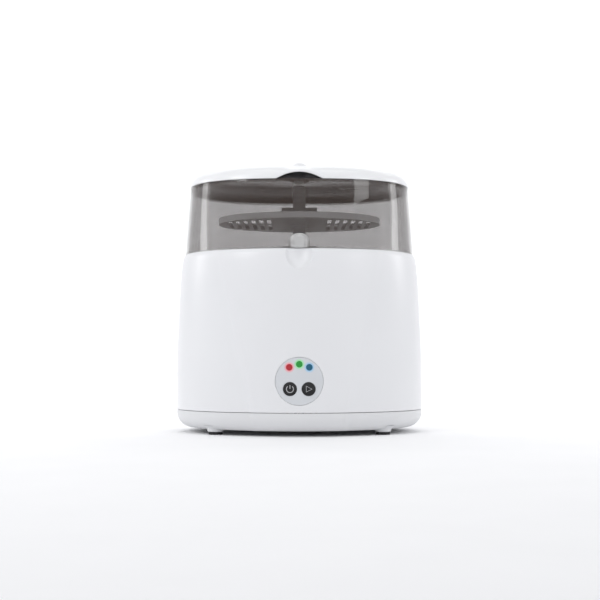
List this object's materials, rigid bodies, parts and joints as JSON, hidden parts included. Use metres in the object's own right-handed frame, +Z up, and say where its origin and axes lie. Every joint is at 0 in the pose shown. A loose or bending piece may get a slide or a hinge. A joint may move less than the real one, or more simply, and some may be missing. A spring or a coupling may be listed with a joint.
{
  "type": "bottle sterilizer",
  "caption": "Oval counter-top steam sterilizer for baby bottles: white body, hinged smoked dome lid, round control disc, inner basket, accessory tray and heating plate.",
  "frame": {"origin": "on the surface that it stands on, under the middle of the body", "axes": "+Z up, -Y towards the front with the control disc, +X to the right seen from the front"},
  "size_m": [0.2976, 0.252, 0.326],
  "materials": {
    "white_shell": "satin white moulding",
    "white_base": "fine matt white moulding",
    "cap_white": "satin white moulding",
    "smoked": "clear smoked plastic, polished",
    "clear_tab": "clear plastic, polished",
    "panel_grey": "light grey, satin",
    "black_key": "black, satin",
    "red_light": "red translucent, lit",
    "green_light": "green translucent, lit",
    "blue_light": "blue translucent, lit",
    "foot_rubber": "matt",
    "seal_silicone": "translucent silicone",
    "plate_steel": "brushed",
    "zinc_steel": "zinc plated",
    "element_steel": "heat-darkened",
    "tub_plastic": "light grey polypropylene",
    "basket_plastic": "white polypropylene",
    "board_green": "solder-masked laminate",
    "component_black": "moulded",
    "terminal_green": "moulded",
    "led_white": "clear epoxy",
    "ceramic_fuse": "ceramic",
    "wire_insulation": "silicone insulation",
    "gland_black": "matt"
  },
  "bodies": {
    "housing": {"base_pan": "white_base", "foot_pads": "foot_rubber", "base_screws": "zinc_steel", "cord_gland": "gland_black", "body_shell": "white_shell", "chamber_tub": "tub_plastic", "plate_gasket": "seal_silicone", "heating_plate": "plate_steel", "plate_screws": "zinc_steel", "heating_element": "element_steel", "element_bracket": "zinc_steel", "thermostat": "component_black", "thermal_fuse": "ceramic_fuse", "control_disc": "panel_grey", "red_lens": "red_light", "green_lens": "green_light", "blue_lens": "blue_light", "control_board": "board_green", "board_screws": "zinc_steel", "tact_switches": "component_black", "indicator_leds": "led_white", "relay": "component_black", "terminal_block": "terminal_green", "heater_leads": "wire_insulation", "mains_leads": "wire_insulation", "hinge_bracket": "zinc_steel", "hinge_screws": "zinc_steel", "hinge_pin": "zinc_steel", "basket_floor": "basket_plastic", "bottle_pegs": "basket_plastic", "basket_post": "basket_plastic", "basket_handle": "basket_plastic"},
    "lid": {"lid_shell": "smoked", "lid_seal": "seal_silicone", "lid_cap": "cap_white", "lift_tab": "clear_tab", "steam_vent": "cap_white", "vent_valve": "component_black", "hinge_arm": "white_base"},
    "power_button": {"power_button": "black_key"},
    "start_button": {"start_button": "black_key"},
    "accessory_tray": {"accessory_tray": "basket_plastic"}
  },
  "joints": [
    {"name": "lid_hinge", "type": "hinge", "parent": "housing", "child": "lid", "pos_m": [0, 0.1195, 0.2095], "axis": [-1, 0, 0], "range_deg": [0, 100]},
    {"name": "power_press", "type": "slide", "parent": "housing", "child": "power_button", "axis": [0, 1, 0], "range_m": [0, 0.0012], "stiffness_N_per_m": 400},
    {"name": "start_press", "type": "slide", "parent": "housing", "child": "start_button", "axis": [0, 1, 0], "range_m": [0, 0.0012], "stiffness_N_per_m": 400},
    {"name": "tray_lift", "type": "slide", "parent": "housing", "child": "accessory_tray", "axis": [0, 0, 1], "range_m": [0, 0.015]}
  ]
}
